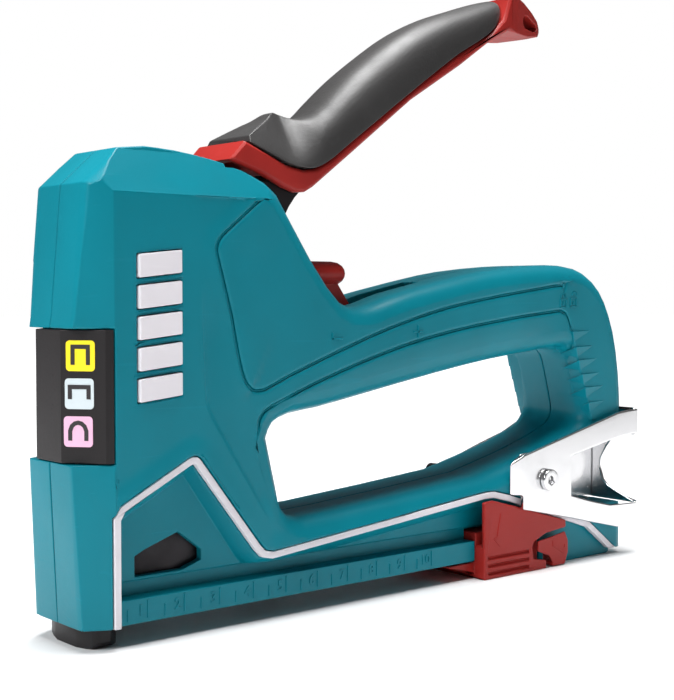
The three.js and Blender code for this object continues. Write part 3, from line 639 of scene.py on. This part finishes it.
RULER = 12.5
for side, sign in (("left", -1), ("right", 1)):
    ticks = [[10.0 * n + 0.3, 6.2, 10.0 * n + 0.3, 9.9] for n in range(1, 11)]
    ticks += [[10.0 * n - 5.0, 6.0, 10.0 * n - 5.0, 8.4] for n in range(1, 11)]
    points, faces = raised_strips(ticks, sign * RULER, 0.22, 0.42)
    add_piece("ruler_ticks_" + side, points, faces, TEAL, "housing", "teal_plastic", False)
    numerals = [
        lettering(str(n), 3.6, 10.0 * n + sign * 1.6 - (0.5 if n == 10 else 0), 6.8, sign * (RULER + 0.02),
                  0.2, sign > 0)
        for n in range(1, 11)]
    join_meshes("ruler_numerals_" + side, numerals, TEAL, "housing")
    signs = [[91.7, 69.8, 94.7, 69.8], [93.2, 68.3, 93.2, 71.3]]
    signs += [[63.6, 68.5, 66.6, 68.5], [63.6, 68.5, 63.6, 69.9]]
    points, faces = raised_strips(signs, sign * (SKIN + 0.02), 0.3, 0.55)
    add_piece("force_signs_" + side, points, faces, TEAL, "housing", "teal_plastic", False)


def ring_strip(cx, cz, r, start, end, count):
    """Stretches round an arc in the X and Z plane."""
    a = np.radians(np.linspace(start, end, count))
    p = np.stack([cx + r * np.cos(a), cz + r * np.sin(a)], 1)
    return np.hstack([p[:-1], p[1:]]).tolist()


for side, sign in (("left", -1), ("right", 1)):
    strips = []
    for x, z, opened in ((151.9, 75.9, 0.0), (156.4, 76.1, 1.0)):
        strips += [[x - 1.3, z, x + 1.3, z], [x - 1.3, z + 2.4, x + 1.3, z + 2.4]]
        strips += [[x - 1.3, z, x - 1.3, z + 2.4], [x + 1.3, z, x + 1.3, z + 2.4], [x, z + 0.8, x, z + 1.6]]
        strips += ring_strip(x + 0.5 * opened, z + 3.0 + 0.4 * opened, 0.95, 0, 180, 7)
    points, faces = raised_strips(strips, sign * (SKIN + 0.02), 0.22, 0.36)
    add_piece("lock_signs_" + side, points, faces, TEAL, "housing", "teal_plastic", False)


# ---- nose label -------------------------------------------------------------------------------
def label_tile(u0, u1, z0, z1, radius, height, sign):
    """A rounded square plate on the slanted face of the label: its rim is a superellipse-cornered
    outline swept from the face out to the plate's height."""
    a = np.radians(np.linspace(0, 360, 48, endpoint=False))
    cx, cz, hx, hz = (u0 + u1) / 2, (z0 + z1) / 2, (u1 - u0) / 2 - radius, (z1 - z0) / 2 - radius
    u = cx + np.sign(np.cos(a)) * hx + radius * np.cos(a)
    z = cz + np.sign(np.sin(a)) * hz + radius * np.sin(a)
    return slanted(u, z, height, sign)


def slanted(u, z, height, sign):
    """Points on the slanted label face from distance along it and height, as a flat cap with a
    short wall down to the face."""
    start, along, out = np.array([-7.7, 5.8]), np.array([6.5, 8.3]) / 10.542, np.array([-8.3, 6.5]) / 10.542
    plan = start + np.outer(u, along)
    rings = []
    for h in (0.02, height):
        p = plan + out * h
        rings.append(np.stack([p[:, 0], sign * p[:, 1], z], 1))
    n = len(u)
    k = np.arange(n)
    wall = np.stack([k, (k + 1) % n, (k + 1) % n + n, k + n], 1).tolist()
    cap = (k + n).tolist()
    return np.concatenate(rings), wall + [cap]


def thick_line(line, width):
    """Closed outline round an open line of straight stretches with square ends and mitred bends."""
    line = np.asarray(line, float)
    d = np.diff(line, axis=0)
    d /= np.linalg.norm(d, axis=1)[:, None]
    n = np.stack([-d[:, 1], d[:, 0]], 1)
    before, after = np.vstack([n[:1], n]), np.vstack([n, n[-1:]])
    mitre = before + after
    mitre /= (mitre * after).sum(1)[:, None]
    return np.vstack([line + mitre * width / 2, (line - mitre * width / 2)[::-1]])


TILES = [(YELLOW, 1.3, 62.7, "tile_yellow"), (PALE, 1.0, 54.3, "tile_pale"), (PINK, 0.7, 45.9, "tile_pink")]
STAPLES = {
    "tile_yellow": [[[1.6, 1.4], [1.6, 5.4], [5.2, 5.4], [5.2, 1.4]]],
    "tile_pale": [[[1.2, 2.2], [1.2, 4.9], [5.6, 4.9], [5.6, 2.2]]],
    "tile_pink": [[[1.5, 1.4], [1.5, 3.6], [1.9, 4.6], [2.6, 5.2], [3.4, 5.4], [4.2, 5.2], [4.9, 4.6],
                   [5.3, 3.6], [5.3, 1.4]]],
}


def recalculated(piece):
    """The same piece with every face turned outwards."""
    work = bmesh.new()
    work.from_mesh(piece.data)
    bmesh.ops.recalc_face_normals(work, faces=work.faces)
    work.to_mesh(piece.data)
    work.free()
    return piece


def outward_on_nose(piece, sign):
    """Turns each face of a thin plate so that it looks away from the seam and the tool."""
    work = bmesh.new()
    work.from_mesh(piece.data)
    out = Vector((-0.787, sign * 0.617, 0))
    caps = [f for f in work.faces if len(f.verts) > 4]
    if caps and caps[0].normal.dot(out) < 0:
        bmesh.ops.reverse_faces(work, faces=work.faces)
    work.to_mesh(piece.data)
    work.free()
    return piece


for side, sign in (("left", -1), ("right", 1)):
    for finish, u0, z0, name in TILES:
        plate = label_tile(u0, u0 + 6.8, z0, z0 + 6.8, 0.9, 0.12, sign)
        outward_on_nose(add_piece(f"{name}_{side}", *plate, finish, "housing", "black_plastic", False), sign)
        marks = []
        for staple in STAPLES[name]:
            outline = thick_line(staple, 0.95) + [u0, z0]
            marks.append(slanted(outline[:, 0], outline[:, 1], 0.2, sign))
        mark = add_piece(f"{name}_staple_{side}", *joined(marks), INK, "housing", "black_plastic", False)
        outward_on_nose(mark, sign)

FRONT_MARKS = [[z, 1.5 if k % 5 == 0 else 0.9] for k, z in enumerate(np.arange(46.5, 69.0, 1.1))]
marks = []
for z, long in FRONT_MARKS:
    rows = np.array([[-7.72, -5.0, z - 0.12], [-7.72, -5.0 + long, z - 0.12], [-7.72, -5.0 + long, z + 0.12],
                     [-7.72, -5.0, z + 0.12]])
    rows = np.vstack([rows, rows + [0.06, 0, 0]])
    box = [[3, 2, 1, 0], [4, 5, 6, 7]] + [[k, (k + 1) % 4, (k + 1) % 4 + 4, k + 4] for k in range(4)]
    marks.append((rows, box))
# the marks start flush with the label's front face, inside the part's own length
points, faces = joined(marks)
points[:, 0] += 0.04
recalculated(add_piece("label_scale", points, faces, MARKS, "housing", "black_plastic", False))


# ---- lever ------------------------------------------------------------------------------------
STATIONS = np.array([
    [41.9, 116.5, 42.3, 118.2, 9.4], [45, 115.2, 46.4, 120.6, 9.9], [49, 113.6, 51, 123.2, 10.3],
    [53, 112, 55, 125.5, 10.7], [57.5, 111.2, 60, 124.6, 11.0], [61.5, 111.5, 63.6, 124.9, 11.2],
    [66, 113.8, 67.2, 127.6, 11.4], [71, 117.4, 70.8, 131, 11.5], [79, 123.1, 77.4, 136.8, 11.6],
    [91, 131.6, 86.4, 143.5, 11.6], [102, 139.2, 97, 150.5, 11.5], [112, 145.7, 108, 155.9, 11.2],
    [121, 150.6, 119, 159.9, 10.6], [127.4, 154.6, 127.2, 162.7, 9.6], [130.6, 158, 132, 164, 8.4],
])


def grip_surface(rows, around):
    """Soft grip carried along the lever: at each row a superellipse arch from the underside seam
    over the top; near the front the arch turns into a flat-topped wedge whose flat narrows to a
    point, like the bow of a boat."""
    t = spline(STATIONS, rows)
    low, top, half = t[:, [0, 1]], t[:, [2, 3]], t[:, 4]
    share = np.linspace(0, 1, rows) * (len(STATIONS) - 1)
    a = np.linspace(0, np.pi, around)
    arch_y = np.sign(np.cos(a)) * np.abs(np.cos(a)) ** 0.75
    arch_v = np.sin(a) ** 0.8
    flat = np.clip(1 - share / 3.4, 0, 1)
    q = np.linspace(-1, 1, around)
    # corner of the wedge at 0.42 of the way round
    k = 0.42
    side = (1 - np.abs(q)) / (1 - k)
    up = np.clip(side, 0, 1)
    slope = flat[:, None] * 0.9 * np.abs(q)[None] / k
    wedge_y = np.where(np.abs(q)[None] > k, 1 - (1 - flat[:, None] * 0.9) * up[None], slope)
    wedge_y = -wedge_y * np.sign(q)[None]
    wedge_v = np.broadcast_to(up, wedge_y.shape) ** 0.9
    mix = smooth_step(share, 2.9, 5.5)[:, None]
    y = (wedge_y * (1 - mix) + arch_y[None] * mix) * half[:, None]
    v = wedge_v * (1 - mix) + arch_v[None] * mix
    x = low[:, :1] + (top[:, :1] - low[:, :1]) * v
    z = low[:, 1:] + (top[:, 1:] - low[:, 1:]) * v
    return np.stack([x, y, z], 2)


def lever_grip():
    rows, around = 121, 65
    grid = grip_surface(rows, around)
    under = grid[:, [-1, 0]]
    shelf = np.linspace(0, 1, 9)[None, :, None]
    floor = under[:, :1] * (1 - shelf) + under[:, 1:] * shelf
    closed = np.concatenate([grid, floor[:, 1:-1]], 1)
    cols = closed.shape[1]
    ring = np.concatenate([closed, closed[:, :1]], 1)
    points = ring.reshape(-1, 3)
    faces = strip_faces(rows, cols + 1).tolist()
    faces.append(list(range(cols + 1))[:-1])
    last = (rows - 1) * (cols + 1)
    faces.append([last + k for k in range(cols)][::-1])
    mesh = bpy.data.meshes.new("grip")
    mesh.from_pydata(placed(points), [], faces)
    work = bmesh.new()
    work.from_mesh(mesh)
    bmesh.ops.remove_doubles(work, verts=work.verts, dist=2e-6)
    bmesh.ops.recalc_face_normals(work, faces=work.faces)
    mesh = as_mesh(work, "lever_grip_surface")
    piece = finish_piece("lever_grip_surface", mesh, GRIP, "lever")
    soften(piece, 0.25, 40.0)
    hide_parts("lever_grip")
    return piece


lever_grip()
rounded("lever_shell", "red_plastic", 0.35, 28.0, 3)
rounded("lever_arm", "dark_steel", 0.2)
rounded("lever_pin", "steel", 0.2)
rounded("force_knob", "red_plastic", 0.3, 40.0, 3)
rounded("lock_catch", "teal_plastic", 0.3)

# ---- magazine and remover ---------------------------------------------------------------------
rounded("magazine_slider", "red_plastic", 0.35)
rounded("drawer_tail", "teal_plastic", 0.3)
for side in ("left", "right"):
    rounded("latch_" + side, "red_plastic", 0.25)
rounded("remover_strap", "chrome", 0.45, 40.0, 3)
rounded("remover_blade", "chrome", 0.1)
rounded("remover_bolt", "chrome", 0.35)
rounded("remover_nut", "chrome", 0.2)
for side, sign in (("left", -1), ("right", 1)):
    bracket = [[124.0, 18.0, 122.6, 11.8], [122.6, 11.8, 121.4, 11.0], [121.6, 11.0, 123.4, 9.2]]
    points, faces = raised_strips(bracket, sign * 16.0, 0.2, 0.5)
    add_piece("slider_mark_" + side, points, faces, RED, "drawer", "red_plastic", False)
    arrow = [[146.3, 7.7, 146.3, 6.2], [146.3, 6.2, 150.9, 3.7], [151.4, 5.4, 151.6, 6.0]]
    points, faces = raised_strips(arrow, sign * 16.0, 0.14, 0.4)
    body = BODY_OF["latch_" + side]
    add_piece("latch_mark_" + side, points, faces, RED, body, "red_plastic", False)

HIDDEN = {
    "striker_guide": STEEL, "striker_blade": STEEL, "plunger": DARK_STEEL, "power_spring": STEEL,
    "spring_guide": DARK_STEEL, "inner_frame": DARK_STEEL, "force_link": STEEL, "magazine_channel": STEEL,
    "drawer_rail": STEEL, "staple_stick": STEEL, "staple_follower": DARK_STEEL, "follower_rod": STEEL,
    "follower_spring": STEEL,
}
for node, finish in HIDDEN.items():
    mesh = frame["nodes"][node].data
    mesh.materials.clear()
    mesh.materials.append(finish.material)


# ---- floor, light and camera ------------------------------------------------------------------
def studio():
    """A pale floor that fades into a white surround through a painted glow on its far part, a high soft
    key at the nose side, a large top panel, and a weak low panel at the heel side."""
    mesh = bpy.data.meshes.new("floor")
    r = np.array([[-4, -4], [4, -4], [4, 4], [-4, 4]], float)
    mesh.from_pydata(np.hstack([r, np.zeros((4, 1))]), [], [(0, 1, 2, 3)])
    floor = bpy.data.objects.new("floor", mesh)
    paper = Finish("studio_paper", (0.93, 0.93, 0.935))
    cloud = paper.noise(6.0, 2.0)
    paper.feed("Roughness", 0.62 + (cloud - 0.5) * 0.06)
    paper.feed("Base Color", paper.blend(cloud, (0.84, 0.84, 0.845, 1), (0.82, 0.82, 0.825, 1)))
    away = paper.node("ShaderNodeVectorMath", {"operation": "LENGTH"}, {0: paper.place}, 1)
    seen = paper.node("ShaderNodeLightPath", {}, {}, 0)
    # painted light: the floor glows white away from the tool, fully for camera rays and at a tenth for other
    # rays
    painted_glow = paper.blend(away.rise(0.3, 1.3) * (seen * 0.9 + 0.1), (0, 0, 0, 1), (1, 1, 1, 1))
    paper.shader.inputs["Emission Strength"].default_value = 1.0
    paper.feed("Emission Color", painted_glow)
    mesh.materials.append(paper.material)
    bpy.context.scene.collection.objects.link(floor)
    world = bpy.data.worlds.new("studio")
    bpy.context.scene.world = world
    world.use_nodes = True
    tree = world.node_tree
    seen = tree.nodes.new("ShaderNodeLightPath").outputs["Is Camera Ray"]
    glow, paper_white = tree.nodes["Background"], tree.nodes.new("ShaderNodeBackground")
    glow.inputs["Color"].default_value = (1, 1, 1, 1)
    glow.inputs["Strength"].default_value = 0.12
    paper_white.inputs["Strength"].default_value = 1.0
    paper_white.inputs["Color"].default_value = (1, 1, 1, 1)
    choice = tree.nodes.new("ShaderNodeMixShader")
    tree.links.new(seen, choice.inputs[0])
    tree.links.new(glow.outputs[0], choice.inputs[1])
    tree.links.new(paper_white.outputs[0], choice.inputs[2])
    tree.links.new(choice.outputs[0], tree.nodes["World Output"].inputs["Surface"])
    panels = [
        ("key_panel", (-0.75, -0.05, 0.62), (0, 0, 0.11), 0.3, 0.35, 6.5),
        ("top_panel", (0.05, 0.02, 0.9), (0, 0, 0.06), 0.5, 0.5, 15.5),
        ("heel_panel", (0.95, -0.85, 0.1), (0.09, 0, 0.03), 0.7, 0.2, 0.31),
    ]
    for name, place, aim, wide, high, power in panels:
        data = bpy.data.lights.new(name, "AREA")
        data.shape, data.size, data.size_y, data.energy = "RECTANGLE", wide, high, power
        lamp = bpy.data.objects.new(name, data)
        lamp.location = place
        lamp.rotation_euler = (Vector(aim) - Vector(place)).to_track_quat("-Z", "Y").to_euler()
        bpy.context.scene.collection.objects.link(lamp)
    bpy.context.scene.view_settings.view_transform = "Standard"


def camera():
    """A long lens at the nose side, a little above the middle of the tool."""
    turn, dip = math.radians(-40.154), math.radians(2.403)
    back = Vector((math.sin(turn) * math.cos(dip), -math.cos(turn) * math.cos(dip), math.sin(dip)))
    data = bpy.data.cameras.new("camera")
    data.sensor_width = 36.0
    data.lens = 68.163
    data.clip_start = 0.01
    view = bpy.data.objects.new("camera", data)
    view.location = placed([-149.836, -269.151, 79.642])
    view.rotation_euler = back.to_track_quat("Z", "Y").to_euler()
    bpy.context.scene.collection.objects.link(view)
    bpy.context.scene.camera = view


studio()
camera()
